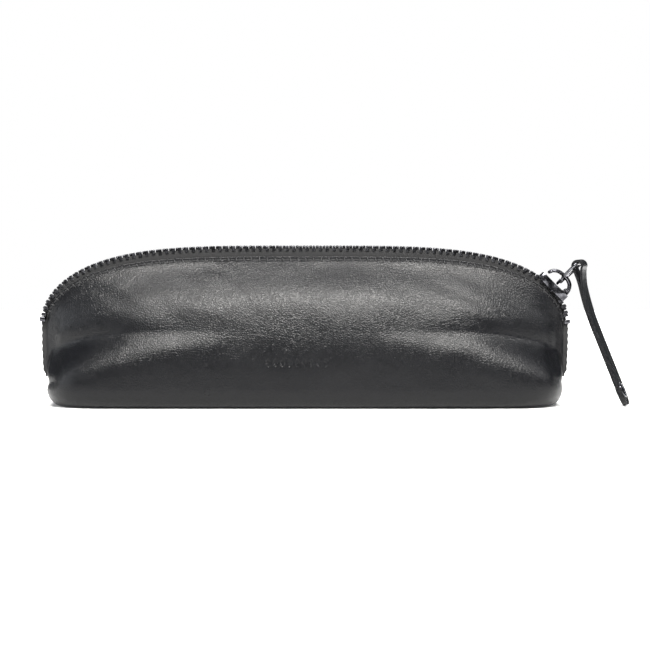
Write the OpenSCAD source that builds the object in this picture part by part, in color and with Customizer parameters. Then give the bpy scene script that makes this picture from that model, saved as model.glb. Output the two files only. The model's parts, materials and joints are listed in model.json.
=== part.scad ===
// Zipped leather pen case: a domed two-panel pouch with a boxed base, a metal
// zip over its arched top, and a folded leather strap on the slider.
// Millimetres, +Z up, origin at the middle of the base, +X towards the end
// where the slider rests, -Y towards the front.

/* [Case] */
// Half length of the line along the tops of the zip teeth
arch_half = 103; // [90:0.5:120]
// Height of that line where the zip ends
arch_end_z = 31.3; // [26:0.1:38]
// Height of that line at the middle of the case
arch_top_z = 62; // [54:0.5:74]
// Depth from front to back at the base
case_depth = 48; // [40:1:58]
// Radius of the rounded bottom edge
base_round = 5; // [4:0.25:6]
// Height at which the walls are fullest
belly_z = 8; // [6.5:0.5:10]
// Leather thickness
leather_t = 1.4; // [1.1:0.1:1.6]
// Lining thickness
lining_t = 0.4; // [0.3:0.05:0.5]
// Base board thickness
board_t = 1; // [0.8:0.1:1.3]

/* [Zip] */
// Distance from one tooth to the next in the same row
tooth_pitch = 2.6; // [2.4:0.05:3]
// Width of a tooth along the zip
tooth_w = 1.12; // [0.8:0.01:1.15]
// Height of a tooth
tooth_h = 2; // [1.7:0.05:2.3]
// Distance from the middle of the zip to the outer end of a tooth
tooth_reach = 3; // [2.8:0.05:3.4]
// Distance by which a tooth's head crosses the middle of the zip
tooth_cross = 0.75; // [0.5:0.05:0.85]
// Tape thickness
tape_t = 0.5; // [0.35:0.05:0.6]
// Place of the slider, as an angle along the arch from its middle
slider_at = 69.5; // [60:0.5:72]

/* [Slider] */
// Length of the slider
slider_len = 13; // [12:0.25:14]
// Thickness of the slider's top plate
plate_t = 1.1; // [0.9:0.05:1.4]
// Width of the hooked crown
crown_w = 2.4; // [2:0.1:2.6]
// Radius of the crown's cross pin
pin_r = 0.5; // [0.4:0.05:0.6]

/* [Pull] */
// Radius of the link's wire
link_r = 0.55; // [0.45:0.05:0.65]
// Length of the link between the middles of its two bars
link_len = 11.2; // [10:0.1:13]
// Rise of the link above level
link_rise = 44; // [38:1:50]
// Turn of the link and strap towards the front
pull_turn = 19; // [0:1:22]
// Width of the strap
strap_w = 8; // [7.6:0.2:10]
// Thickness of one layer of the strap
strap_t = 0.95; // [0.8:0.05:1.1]
// Radius of the eyelet's hole
eyelet_r = 2.1; // [1.6:0.05:2.3]

/* [Hidden] */

round_fn = 48;
rod_fn = 56;
fit = 0.03;              // running clearance of a pin in its hole
gap = 0.1;               // gap between layers that touch on the real case

// Leather walls
arch_rise = arch_top_z - arch_end_z;
lip_drop_mid = 4.2;      // tooth tops down to the leather's edge, at the middle
lip_drop_end = 2.3;      // the same at the two ends
lip_y = leather_t + tape_t + 2.5;   // outer face of the leather's edge
seam_y = tape_t + gap;   // half gap in the end seams, which holds the tape ends
join_y = 0.05;           // half gap in the base seam
base_half = arch_half - lip_drop_end - 0.4;
end_floor = 0.02;        // keeps the end columns of the walls from closing to a point
box_power = 12;          // plan shape of the base: a box with round corners
leaf_power = 3.2;        // plan shape higher up: a leaf with pointed ends
leaf_level = 0.45;       // share of the wall's height where the leaf shape is reached

// Layers, as distances in from the leather's outer face
tape_in = leather_t + 0.25;   // clears the flat facets of the wall
lining_in = tape_in + tape_t + 0.3;
lining_floor = leather_t + board_t + 0.15;
lining_top = 0.955;      // share of the wall's height that the lining covers

// Zip
half_gap_tape = 0.05;    // half gap between the two tapes where they meet
tape_reach = 88;         // angle along the arch where each tape leaves its row
tape_hold = 0.9;         // share of the wall's height where the tape's sewn edge ends
teeth_from = -84.5;
teeth_to = 86;
parting = 1.45;          // how far each row moves aside at the slider's nose
tape_end_top = arch_end_z - 1.6;
tape_end_bottom = 11;
tape_end_out = 0.4;      // how far inside the arch's end the tape ends stop
stitches_from = -84;
stitches_to = 86;
stitch_pitch = 3;
stitch_len = 2.2;
stitch_r = 0.28;
stitch_drop = 1.5;       // leather's edge down to the stitch line
stitch_lift = 0.18;      // clears the flat facets of the wall

// Slider, in its own frame: X along the zip towards the open end, Z away from the case
plate_z = 0.2;
plate_top = plate_z + plate_t;
channel_gap = 0.35;      // side clearance between the teeth and the flanges
flange_t = 0.85;
flange_drop = 1.5;       // how far the flanges reach down beside the teeth
lower_z = -tooth_h - 0.75;
lower_t = 0.95;
lower_w = 2 * (lip_y - tape_in - tape_t) - 0.6;
lower_nose_w = 2.4;
crown_rise = 5.3;
crown_at = 0.3;
crown_half = slider_len / 2 - 0.4;
pin_at = [crown_at + crown_half - 1.35, plate_top + 1.25];
lug_t = 0.6;
spring_w = 0.8;
spring_t = 0.25;
prong_at = 2.4;

// Pull
link_at = 0.7;           // place of the link's inner bar along the slider
link_z = plate_top + 0.65 + link_r;
corner_share = 1.05;     // and its corners a little fuller
arm_share = 0.92;        // the link's arms are a little thinner than its two bars
link_half_in = 2.5;
link_half_out = strap_w / 2 + link_r + 0.7;
loop_in = 1.45;
loop_out = loop_in + strap_t;
strap_tilt_top = 8;      // lean of the strap from upright below its loop
strap_tilt_end = 22.5;   // lean of its straight lower part
strap_bend = 25;         // length of the curved part
floor_gap = 0.05;
eyelet_from_tip = 6.2;
eyelet_wall = 0.45;
eyelet_rim = 1.1;
rim_t = 0.35;

// ---- the arch ----

function unit(v) = v / norm(v);
function mix(a, b, t) = a + (b - a) * t;
function smooth(t) = let (c = min(max(t, 0), 1)) c * c * (3 - 2 * c);

// Point on the line along the tooth tops, in X and Z: a superellipse of power 4 and 2
function arch(f) = [arch_half * sin(f), arch_end_z + arch_rise * cos(f) * sqrt(1 + sin(f) ^ 2)];
function arch_dir(f) = unit([arch_half * cos(f), -2 * arch_rise * sin(f) ^ 3 / sqrt(1 + sin(f) ^ 2)]);
function arch_out(f) = let (d = arch_dir(f)) [-d.y, d.x];
function slope(f) = let (d = arch_dir(f)) atan2(d.y, d.x);

// Length along the middle of the chain, as pairs of length and angle
chain_step = 0.5;
function chain(f) = arch(f) - arch_out(f) * tooth_h / 2;
chain_table = [for (f = -90, s = 0; f <= 90;
    s = s + norm(chain(f + chain_step) - chain(f)), f = f + chain_step) [s, f]];
turned_table = [for (p = chain_table) [p[1], p[0]]];
function angle_at(s) = lookup(s, chain_table);
function length_at(f) = lookup(f, turned_table);
slider_s = length_at(slider_at);

// How far each row stands aside from the middle of the zip, beyond the slider's throat
function aside(s) = parting * smooth((s - slider_s + 1) / 5)
    * (1 - smooth((s - slider_s - 6) / 6));

// ---- the walls, for the half with positive Y ----

function lip(f) = arch(f)
    - arch_out(f) * mix(lip_drop_end, lip_drop_mid, 1 - sin(f) ^ 4);
function edge_y(f) = mix(seam_y, lip_y, 1 - abs(sin(f)) ^ 60);
function side_x(z) = mix(base_half, arch_half - lip_drop_end,
    min(max((z - belly_z) / (arch_end_z - belly_z), 0), 1));

// Share of the full depth at a place along the case: boxy at the base, pointed higher up
function plan(f, w) = let (
    t = smooth(w / leaf_level),
    p = mix(box_power, leaf_power, t),
    q = mix(2.2, 1, t))
    max((1 - abs(sin(f)) ^ p) ^ (1 / q), end_floor);
function profile(w) = (1 - w ^ 2.4) ^ 1.2;
function seam_at(w) = mix(join_y, seam_y, min(w / 0.13, 1));

function wall(f, w) = let (
    l = lip(f),
    z = mix(belly_z, l.y, w),
    x = mix(side_x(z) * sin(f), l.x, w * w),
    y = seam_at(w) + (edge_y(f) - seam_y) * w * w + (case_depth / 2 - seam_at(w)) * plan(f, w) * profile(w))
    [x, y, z];
function corner(f, a) = [
    sin(f) * (base_half - base_round * (1 - cos(a))),
    join_y + (case_depth / 2 - join_y) * plan(f, 0) * (1 - 2 * base_round / case_depth * (1 - cos(a))),
    belly_z * (1 - sin(a))];
function floor_point(f, t) = let (c = corner(f, 90)) [c.x, mix(join_y, c.y, t), 0];

// One surface from the base seam to the leather's edge: base 0 to 1, corner 1 to 2, wall 2 to 3
function skin(f, v) =
    v < 1 ? floor_point(f, v) :
    v < 2 ? corner(f, 90 * (2 - v)) :
    wall(f, v - 2);
function skin_out(f, v) = let (
    along = skin(min(f + 0.5, 90), v) - skin(max(f - 0.5, -90), v),
    up = skin(f, min(v + 0.01, 3)) - skin(f, max(v - 0.01, 0)))
    -unit(cross(along, up));

// A point a given depth inside the skin, which stays on its own side of the middle
function inside(f, v, depth, least_y, least_z = 0) = let (
    p = skin(f, v) - skin_out(f, v) * depth)
    [p.x, max(p.y, least_y), max(p.z, least_z)];

// Closed solid between two grids of points with the same numbers of rows and columns
module between(outer, inner) {
    rows = len(outer);
    cols = len(outer[0]);
    n = rows * cols;
    function at(i, j) = i * cols + j;
    faces = [
        for (i = [0:rows - 2], j = [0:cols - 2])
            each [[at(i, j), at(i + 1, j), at(i + 1, j + 1)],
                [at(i, j), at(i + 1, j + 1), at(i, j + 1)],
                [n + at(i, j), n + at(i + 1, j + 1), n + at(i + 1, j)],
                [n + at(i, j), n + at(i, j + 1), n + at(i + 1, j + 1)]],
        for (i = [0:rows - 2], j = [0, cols - 1])
            let (a = at(i, j), b = at(i + 1, j), flip = j > 0)
                each [flip ? [a, b, n + b] : [b, a, n + a],
                    flip ? [a, n + b, n + a] : [b, n + a, n + b]],
        for (j = [0:cols - 2], i = [0, rows - 1])
            let (a = at(i, j), b = at(i, j + 1), flip = i > 0)
                each [flip ? [b, a, n + a] : [a, b, n + b],
                    flip ? [b, n + a, n + b] : [a, n + b, n + a]]];
    polyhedron(points = concat([for (r = outer) each r], [for (r = inner) each r]), faces = faces);
}

wall_columns = [for (i = [0:44]) -90 + i * 180 / 44];
wall_rows = concat([0, 0.5], [for (i = [0:3]) 1 + i / 4], [for (i = [0:15]) 2 + i / 15]);

module panel() {
    between(
        [for (v = wall_rows) [for (f = wall_columns) skin(f, v)]],
        [for (v = wall_rows) [for (f = wall_columns)
            inside(f, v, leather_t, v < 2 ? join_y : seam_at(v - 2), v < 1 ? leather_t : 0)]]);
}

lining_columns = [for (i = [0:30]) -90 + i * 6];
lining_rows = concat([0, 1, 1.5], [for (i = [0:9]) 2 + i / 9 * lining_top]);

module lining() {
    function sheet(depth, least_z) = [for (v = lining_rows) [for (f = lining_columns)
        inside(f, v, depth, v < 2 ? join_y : seam_y + gap / 2, least_z)]];
    between(sheet(lining_in, lining_floor), sheet(lining_in + lining_t, lining_floor + lining_t));
}

module base_board() {
    length = 2 * (base_half - base_round - 8);
    width = case_depth - 2 * base_round - 6;
    r = 5;
    translate([0, 0, leather_t + 0.05]) linear_extrude(board_t)
        union() {
            square([length - 2 * r, width], center = true);
            square([length, width - 2 * r], center = true);
            for (sx = [-1, 1], sy = [-1, 1])
                translate([sx * (length / 2 - r), sy * (width / 2 - r)]) circle(r, $fn = round_fn);
        }
}

// ---- the zip, for the row with positive Y ----

module on_arch(f) {
    p = arch(f);
    translate([p.x, 0, p.y]) rotate([0, -slope(f), 0]) children();
}

tape_columns = [for (i = [0:64]) -tape_reach + i * 2 * tape_reach / 64];

module tape() {
    held = [3, mix(2 + tape_hold, 3, 0.5), 2 + tape_hold];
    function held_row(v, depth, least) = [for (f = tape_columns) inside(f, v, depth, least)];
    function top_row(row) = [for (i = [0:len(row) - 1]) let (
        f = tape_columns[i],
        p = arch(f) - arch_out(f) * (tooth_h + 0.05))
        [p.x, row[i].y + aside(length_at(f)), p.y]];
    outer = [for (v = held) held_row(v, tape_in, half_gap_tape + tape_t)];
    inner = [for (v = held) held_row(v, tape_in + tape_t, half_gap_tape)];
    between(concat([top_row(inner[0])], inner), concat([top_row(outer[0])], outer));
}

module tape_end(side) {
    inner_x = base_half - 6;
    outer_x = arch_half - tape_end_out;
    length = tape_end_top - tape_end_bottom;
    translate([side > 0 ? inner_x : -outer_x, -tape_t, tape_end_bottom])
        cube([outer_x - inner_x, 2 * tape_t, length]);
}

// A tooth: wide legs that clamp the tape, and a narrower head with a rounded tip
module tooth() {
    leg = tooth_w / 2 + 0.09;
    head = tooth_w / 2;
    translate([0, 0, -tooth_h]) linear_extrude(tooth_h)
        polygon([[-leg, tooth_reach - 0.3], [-leg + 0.3, tooth_reach], [leg - 0.3, tooth_reach],
            [leg, tooth_reach - 0.3], [leg, tooth_cross + 0.45], [head, tooth_cross + 0.1],
            [head, -tooth_cross + 0.25], [head - 0.25, -tooth_cross], [-head + 0.25, -tooth_cross],
            [-head, -tooth_cross + 0.25], [-head, tooth_cross + 0.1], [-leg, tooth_cross + 0.45]]);
}

first_tooth_s = length_at(teeth_from);
last_tooth_s = length_at(teeth_to);

module teeth(offset) {
    count = floor((last_tooth_s - first_tooth_s - offset) / tooth_pitch);
    for (i = [0:count]) {
        s = first_tooth_s + offset + i * tooth_pitch;
        on_arch(angle_at(s)) translate([0, aside(s), 0]) tooth();
    }
}

module bottom_stop() {
    s = first_tooth_s - 1.9;
    on_arch(angle_at(s)) translate([-0.9, -2.6, -tooth_h]) cube([1.8, 5.2, tooth_h + 0.3]);
}

module top_stop() {
    s = last_tooth_s + 1.6;
    on_arch(angle_at(s)) translate([-0.5, half_gap_tape + 0.2, -tooth_h]) cube([1.6, 1, tooth_h + 0.3]);
}

// ---- the stitching beside the leather's edge ----

module rod(a, b, r) {
    d = b - a;
    translate(a) rotate([0, acos(d.z / norm(d)), atan2(d.y, d.x)]) cylinder(h = norm(d), r = r, $fn = rod_fn);
}

function stitch_point(s) = let (
    f = angle_at(s),
    w = 1 - stitch_drop / (lip(f).y - belly_z))
    skin(f, 2 + w) + skin_out(f, 2 + w) * (stitch_r + stitch_lift);

module stitching() {
    from = length_at(stitches_from);
    count = floor((length_at(stitches_to) - from) / stitch_pitch);
    for (i = [0:count - 1]) {
        s = from + i * stitch_pitch;
        rod(stitch_point(s), stitch_point(s + stitch_len), stitch_r);
    }
}

// ---- the slider ----

function channel_half(t) = tooth_reach + channel_gap + parting * smooth((t + 2.2) / 5);
slider_steps = [for (i = [0:10]) (i / 10 - 0.5) * slider_len];

// Plan of the slider: narrow where the zip is closed, wide at its nose
module slider_plan(grow) {
    polygon(concat(
        [for (t = slider_steps) [t, channel_half(t) + grow - 0.8 * (abs(t) / slider_len * 2) ^ 8]],
        [for (i = [10:-1:0]) let (t = slider_steps[i])
            [t, -channel_half(t) - grow + 0.8 * (abs(t) / slider_len * 2) ^ 8]]));
}

module slider_body() {
    difference() {
        union() {
            translate([0, 0, plate_z]) linear_extrude(plate_t) slider_plan(flange_t);
            translate([0, 0, -flange_drop]) linear_extrude(flange_drop + plate_z) difference() {
                slider_plan(flange_t);
                polygon(concat([for (t = slider_steps) [t * 1.1, channel_half(t)]],
                    [for (i = [10:-1:0]) let (t = slider_steps[i]) [t * 1.1, -channel_half(t)]]));
            }
            translate([0, 0, lower_z - lower_t]) linear_extrude(lower_t)
                polygon([[-slider_len / 2 + 0.5, -lower_w / 2], [0, -lower_w / 2],
                    [slider_len / 2 - 1, -lower_nose_w / 2], [slider_len / 2 - 1, lower_nose_w / 2],
                    [0, lower_w / 2], [-slider_len / 2 + 0.5, lower_w / 2]]);
            translate([0, 0, lower_z]) linear_extrude(plate_z - lower_z)
                polygon([[3.2, 0], [4.4, 0.5], [slider_len / 2 - 1, 0.3],
                    [slider_len / 2 - 1, -0.3], [4.4, -0.5]]);
            for (side = [-1, 1])
                translate([pin_at.x, side * (crown_w / 2 + gap / 2 + lug_t / 2), 0]) lug();
        }
        crown_hole();
        translate([prong_at, 0, plate_z + plate_t / 2])
            cube([1, spring_w + 0.3, plate_t + 1], center = true);
    }
}

module lug() {
    translate([0, lug_t / 2, pin_at.y]) rotate([90, 0, 0]) cylinder(h = lug_t, r = 1, $fn = round_fn);
    translate([-1, -lug_t / 2, plate_top - 0.2]) cube([2, lug_t, pin_at.y - plate_top + 0.2]);
}

module crown_hole() {
    translate([pin_at.x, 10, pin_at.y]) rotate([90, 0, 0])
        cylinder(h = 20, r = pin_r + fit, $fn = round_fn);
}

// Half ring in X and Z, fuller than an ellipse
function bow(half, rise, power = 0.8) = [for (a = [0:10:180])
    [sign(cos(a)) * half * abs(cos(a)) ^ power, rise * sin(a) ^ power]];

module slider_crown() {
    inner_half = crown_half - 2.6;
    difference() {
        translate([0, crown_w / 2, plate_top + 0.02]) rotate([90, 0, 0]) linear_extrude(crown_w)
            difference() {
                translate([crown_at, 0]) polygon(bow(crown_half, crown_rise));
                translate([crown_at + 0.5, 0]) polygon(concat([[inner_half, -1]],
                    bow(inner_half, crown_rise - 1), [[-inner_half, -1]]));
                translate([crown_at - crown_half - 1, -1]) square([crown_half - 1.5, 2.3]);
            }
        crown_hole();
        translate([pin_at.x - 2.4, -spring_w / 2 - 0.1, 0]) cube([3.6, spring_w + 0.2, pin_at.y + 1.2]);
    }
}

module crown_pin() {
    length = crown_w + 2 * lug_t + gap + 0.3;
    translate([pin_at.x, length / 2, pin_at.y]) rotate([90, 0, 0])
        cylinder(h = length, r = pin_r, $fn = round_fn);
}

// Leaf that turns on the crown pin and drops its prong between two teeth
module lock_spring() {
    eye = pin_r + fit + 0.35;
    leaf_z = plate_top + 0.06;
    difference() {
        translate([0, spring_w / 2, 0]) rotate([90, 0, 0]) linear_extrude(spring_w) {
            translate(pin_at) circle(eye, $fn = round_fn);
            translate([prong_at - 0.3, leaf_z]) square([pin_at.x - prong_at + 0.3, spring_t]);
            translate([prong_at - 0.3, plate_z - 0.1]) square([0.5, leaf_z + spring_t - plate_z + 0.1]);
            polygon([[pin_at.x - eye, pin_at.y], [pin_at.x - 1.6, leaf_z + 0.1], [pin_at.x, leaf_z + 0.1]]);
        }
        crown_hole();
    }
}

// ---- the pull: a wire link and a folded strap, turned together ----

slider_point = arch(slider_at);
link_point = slider_point + arch_dir(slider_at) * link_at + arch_out(slider_at) * link_z;
bar_offset = link_len * [cos(link_rise), sin(link_rise)];
bar_z = link_point.y + bar_offset.y;

module in_pull() {
    translate([link_point.x, 0, link_point.y]) rotate([0, 0, -pull_turn]) children();
}

module at_bar() {
    in_pull() translate([bar_offset.x, 0, bar_offset.y]) children();
}

module pull_link() {
    corners = [[0, -link_half_in, 0], [0, link_half_in, 0],
        [link_len, link_half_out, 0], [link_len, -link_half_out, 0]];
    in_pull() rotate([0, -link_rise, 0])
        for (i = [0:3]) {
            rod(corners[i], corners[(i + 1) % 4], i % 2 == 0 ? link_r : link_r * arm_share);
            translate(corners[i]) sphere(link_r * corner_share, $fn = rod_fn);
        }
}

// Middle line of the strap in X and Z from its loop: an arc, then a straight part to the floor
loop_centre = [0.2, -(loop_in - link_r - 0.08)];
bend_r = strap_bend / ((strap_tilt_end - strap_tilt_top) * PI / 180);
function down(tilt) = [sin(tilt), -cos(tilt)];
function bend_point(tilt) = loop_centre
    + bend_r * [cos(strap_tilt_top) - cos(tilt), -(sin(tilt) - sin(strap_tilt_top))];
bend_end = bend_point(strap_tilt_end);
strap_straight = (bar_z + bend_end.y - floor_gap - strap_t * sin(strap_tilt_end)) / cos(strap_tilt_end);
strap_tip = bend_end + down(strap_tilt_end) * strap_straight;

// Outline from the side: the two layers part below the loop and close round it
module strap_side() {
    tilts = [for (i = [0:12]) mix(strap_tilt_top, strap_tilt_end, i / 12)];
    function side_of(tilt) = [cos(tilt), sin(tilt)] * strap_t;
    neck_from = 140;
    neck_steps = [0.25, 0.5, 0.75];
    function neck(side, t) = let (
        a = loop_centre + loop_out * [side * sin(neck_from), cos(neck_from)],
        b = bend_point(tilts[2]) + side * side_of(tilts[2]))
        [mix(a.x, b.x, smooth(t)), mix(a.y, b.y, t)];
    difference() {
        polygon(concat(
            [for (a = [-neck_from:10:neck_from]) loop_centre + loop_out * [sin(a), cos(a)]],
            [for (t = neck_steps) neck(1, t)],
            [for (i = [2:12]) bend_point(tilts[i]) + side_of(tilts[i])],
            [strap_tip + side_of(strap_tilt_end), strap_tip - side_of(strap_tilt_end)],
            [for (i = [12:-1:2]) bend_point(tilts[i]) - side_of(tilts[i])],
            [for (i = [2:-1:0]) neck(-1, neck_steps[i])]));
        translate(loop_centre) circle(loop_in, $fn = round_fn);
        polygon([loop_centre + loop_in * [-sin(120), cos(120)], loop_centre + loop_in * [sin(120), cos(120)],
            loop_centre + down(strap_tilt_top) * (loop_out + 0.6)]);
    }
}

// Places children on the strap's middle plane, X towards its tip and Z out of its face
module on_strap(from_tip) {
    p = strap_tip - down(strap_tilt_end) * from_tip;
    at_bar() translate([p.x, 0, p.y]) rotate([0, 90 - strap_tilt_end, 0]) children();
}

module pull_strap() {
    r = strap_w / 2;
    difference() {
        at_bar() translate([0, strap_w / 2, 0]) rotate([90, 0, 0]) linear_extrude(strap_w) strap_side();
        on_strap(r) difference() {
            translate([0, -r - 1, -3]) cube([r + 2, 2 * r + 2, 6]);
            cylinder(h = 8, r = r, center = true, $fn = round_fn);
        }
        on_strap(eyelet_from_tip)
            cylinder(h = 8, r = eyelet_r + eyelet_wall + fit, center = true, $fn = round_fn);
    }
}

module strap_eyelet() {
    on_strap(eyelet_from_tip) difference() {
        union() {
            translate([0, 0, -strap_t - rim_t])
                cylinder(h = 2 * strap_t + 2 * rim_t, r = eyelet_r + eyelet_wall, $fn = round_fn);
            translate([0, 0, strap_t + 0.02])
                cylinder(h = rim_t - 0.02, r = eyelet_r + eyelet_rim, $fn = round_fn);
        }
        cylinder(h = 8, r = eyelet_r, center = true, $fn = round_fn);
    }
}

module eyelet_washer() {
    on_strap(eyelet_from_tip) translate([0, 0, -strap_t - rim_t]) difference() {
        cylinder(h = rim_t - 0.02, r = eyelet_r + eyelet_rim, $fn = round_fn);
        translate([0, 0, -1]) cylinder(h = 3, r = eyelet_r + eyelet_wall + fit, $fn = round_fn);
    }
}

// ---- colours and places ----

leather_colour = [0.045, 0.047, 0.055];
fabric_colour = [0.10, 0.10, 0.11];
tape_colour = [0.03, 0.03, 0.032];
metal_colour = [0.23, 0.23, 0.25];

module front() { mirror([0, 1, 0]) children(); }
module leather() { color(leather_colour) children(); }
module fabric() { color(fabric_colour) children(); }
module webbing() { color(tape_colour) children(); }
module gunmetal() { color(metal_colour) children(); }

leather() front() panel();  // front_panel
leather() panel();  // back_panel
fabric() front() lining();  // front_lining
fabric() lining();  // back_lining
color([0.35, 0.33, 0.30]) base_board();
webbing() tape_end(-1);  // left_tape_end
webbing() tape_end(1);  // right_tape_end
gunmetal() bottom_stop();
webbing() front() tape();  // front_tape
webbing() tape();  // back_tape
gunmetal() front() teeth(0);  // front_teeth
gunmetal() teeth(tooth_pitch / 2);  // back_teeth
gunmetal() front() top_stop();  // front_top_stop
gunmetal() top_stop();  // back_top_stop
webbing() front() stitching();  // front_stitching
webbing() stitching();  // back_stitching
gunmetal() on_arch(slider_at) slider_body();
gunmetal() on_arch(slider_at) slider_crown();
gunmetal() on_arch(slider_at) crown_pin();
gunmetal() on_arch(slider_at) lock_spring();
gunmetal() pull_link();
leather() pull_strap();
gunmetal() strap_eyelet();
gunmetal() eyelet_washer();
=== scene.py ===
# %% [markdown]
# # A zipped leather pen case
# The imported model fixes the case's sizes, its joints and the place of every part. This lesson dresses
# that frame: it makes the leather, the zip, the slider and the strap as finished pieces, each in the place
# where its plain part stands.

# %% Load the frame
import json
import math

import bmesh
import bpy
import numpy as np
from mathutils import Matrix, Vector, noise


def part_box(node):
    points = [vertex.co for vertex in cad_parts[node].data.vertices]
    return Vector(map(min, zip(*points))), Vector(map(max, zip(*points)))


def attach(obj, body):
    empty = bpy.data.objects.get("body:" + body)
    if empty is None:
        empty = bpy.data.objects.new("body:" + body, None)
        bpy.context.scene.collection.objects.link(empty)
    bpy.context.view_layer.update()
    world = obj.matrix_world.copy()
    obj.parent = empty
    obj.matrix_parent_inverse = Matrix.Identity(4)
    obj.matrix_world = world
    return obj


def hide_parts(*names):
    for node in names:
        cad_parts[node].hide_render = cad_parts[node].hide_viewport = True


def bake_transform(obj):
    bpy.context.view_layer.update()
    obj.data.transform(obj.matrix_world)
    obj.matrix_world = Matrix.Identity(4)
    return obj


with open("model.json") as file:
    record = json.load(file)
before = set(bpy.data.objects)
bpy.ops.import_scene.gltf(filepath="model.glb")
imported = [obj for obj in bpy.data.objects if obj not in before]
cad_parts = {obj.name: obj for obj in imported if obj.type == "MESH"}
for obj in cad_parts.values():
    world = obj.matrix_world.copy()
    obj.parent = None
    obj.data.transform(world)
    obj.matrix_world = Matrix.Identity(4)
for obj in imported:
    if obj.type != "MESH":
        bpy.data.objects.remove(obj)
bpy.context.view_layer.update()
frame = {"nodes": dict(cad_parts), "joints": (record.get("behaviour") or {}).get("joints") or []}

MM = 0.001

# %% [markdown]
# ## The shape of the case
# The case has one driving line: the arch along the tops of the zip teeth, a superellipse in X and Z. Its
# length is read from the tape's end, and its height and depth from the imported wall. Everything here
# is worked out in millimetres and for the back half; the front half is its mirror image.

# %% Sizes read from the frame
EDGE_DROP_MIDDLE = 4.2    # from the tooth tops down to the leather's edge
EDGE_DROP_END = 2.3
wall_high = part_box("back_panel")[1] / MM
tail_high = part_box("right_tape_end")[1] / MM
arch_half = tail_high.x + 0.4
arch_top = wall_high.z + EDGE_DROP_MIDDLE
arch_foot = 31.3
half_depth = wall_high.y
belly = 8.0               # height at which the walls are fullest
edge_half = arch_half - EDGE_DROP_END
base_half = edge_half - 0.4
base_round = 5.0
leather_t = 1.4
seam = 0.6                # half gap in the end seams
join = 0.05               # half gap in the base seam
edge_y = 4.4              # from the middle of the zip out to the face of the leather's edge
tooth_h = 2.0
print("case", round(2 * arch_half), "x", round(2 * half_depth), "x", round(arch_top), "mm")


# %% The arch and distances along it
def mix(a, b, t):
    return a + (b - a) * t


def smooth(t):
    t = min(max(t, 0.0), 1.0)
    return t * t * (3 - 2 * t)


def arch(turn):
    s, c = math.sin(turn), math.cos(turn)
    return Vector((arch_half * s, 0, arch_foot + (arch_top - arch_foot) * c * math.sqrt(1 + s * s)))


def along_arch(turn):
    s, c = math.sin(turn), math.cos(turn)
    fall = -2 * (arch_top - arch_foot) * s ** 3 / math.sqrt(1 + s * s)
    return Vector((arch_half * c, 0, fall)).normalized()


def out_of_arch(turn):
    d = along_arch(turn)
    return Vector((-d.z, 0, d.x))


turns = np.radians(np.linspace(-90, 90, 721))
chain = [arch(t) - out_of_arch(t) * tooth_h / 2 for t in turns]
chain_lengths = np.cumsum([0] + [(b - a).length for a, b in zip(chain, chain[1:])])


def chain_length(turn):
    return float(np.interp(turn, turns, chain_lengths))


def length_at(degrees):
    return chain_length(math.radians(degrees))


def turn_at(length):
    return float(np.interp(length, chain_lengths, turns))


def placed(x, y, z, p):
    """The matrix that takes a shape to the point p, with its own axes along x, y and z."""
    return Matrix(((x.x, y.x, z.x, p.x), (x.y, y.y, z.y, p.y), (x.z, y.z, z.z, p.z), (0, 0, 0, 1)))


SLIDER_AT = 69.5          # degrees along the arch where the slider rests
slider_length = length_at(SLIDER_AT)
print("the chain is", round(chain_lengths[-1]), "mm long")


# %% The walls as one surface
def leather_edge(turn):
    return arch(turn) - out_of_arch(turn) * mix(EDGE_DROP_END, EDGE_DROP_MIDDLE, 1 - math.sin(turn) ** 4)


def plan(turn, up):
    """Share of the depth at a place along the case: a box at the base, a leaf higher up."""
    t = smooth(up / 0.45)
    return max((1 - abs(math.sin(turn)) ** mix(12, 3.2, t)) ** (1 / mix(2.2, 1, t)), 0.02)


def seam_gap(up):
    return mix(join, seam, min(up / 0.13, 1))


def wall(turn, up):
    """The wall from the belly, at 0, to the leather's edge, at 1."""
    edge = leather_edge(turn)
    z = mix(belly, edge.z, up)
    foot_x = mix(base_half, edge_half, min(max((z - belly) / (arch_foot - belly), 0), 1))
    gap = seam_gap(up)
    lip = mix(seam, edge_y, 1 - abs(math.sin(turn)) ** 60) - seam
    y = gap + lip * up * up + (half_depth - gap) * plan(turn, up) * (1 - up ** 2.4) ** 1.2
    return Vector((mix(foot_x * math.sin(turn), edge.x, up * up), y, z))


def corner(turn, angle):
    """The rounded bottom edge, from the belly at 0 degrees to the base at 90."""
    inward = 1 - math.cos(math.radians(angle))
    share = 1 - base_round / half_depth * inward
    return Vector((math.sin(turn) * (base_half - base_round * inward),
                   join + (half_depth - join) * plan(turn, 0) * share,
                   belly * (1 - math.sin(math.radians(angle)))))


def skin(turn, v):
    """The outer face: base from 0 to 1, bottom edge from 1 to 2, wall from 2 to 3."""
    if v < 1:
        edge = corner(turn, 90)
        return Vector((edge.x, mix(join, edge.y, v), 0))
    return corner(turn, 90 * (2 - v)) if v < 2 else wall(turn, v - 2)


def skin_out(turn, v):
    limit = math.pi / 2
    across = skin(min(turn + 0.01, limit), v) - skin(max(turn - 0.01, -limit), v)
    upward = skin(turn, min(v + 0.01, 3)) - skin(turn, max(v - 0.01, 0))
    return upward.cross(across).normalized()


def inside(turn, v, depth, least_y=0.05):
    """A point a given depth inside the skin, on its own side of the middle."""
    p = skin(turn, v) - skin_out(turn, v) * depth
    return Vector((p.x, max(p.y, least_y), max(p.z, 0)))


print("the belly stands out", round(skin(0, 2).y, 1), "mm, the edge", round(skin(0, 3).y, 1), "mm")

# %% [markdown]
# ## Finishes
# Each finish is a small tree of nodes on the Principled shader. The patterns read Object coordinates, which
# are the frame's own metres, so a pattern of scale 1000 repeats each millimetre and never slides when a
# part moves. The colour, the roughness and the height all take part, because a real surface is never even
# in any of the three.


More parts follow.
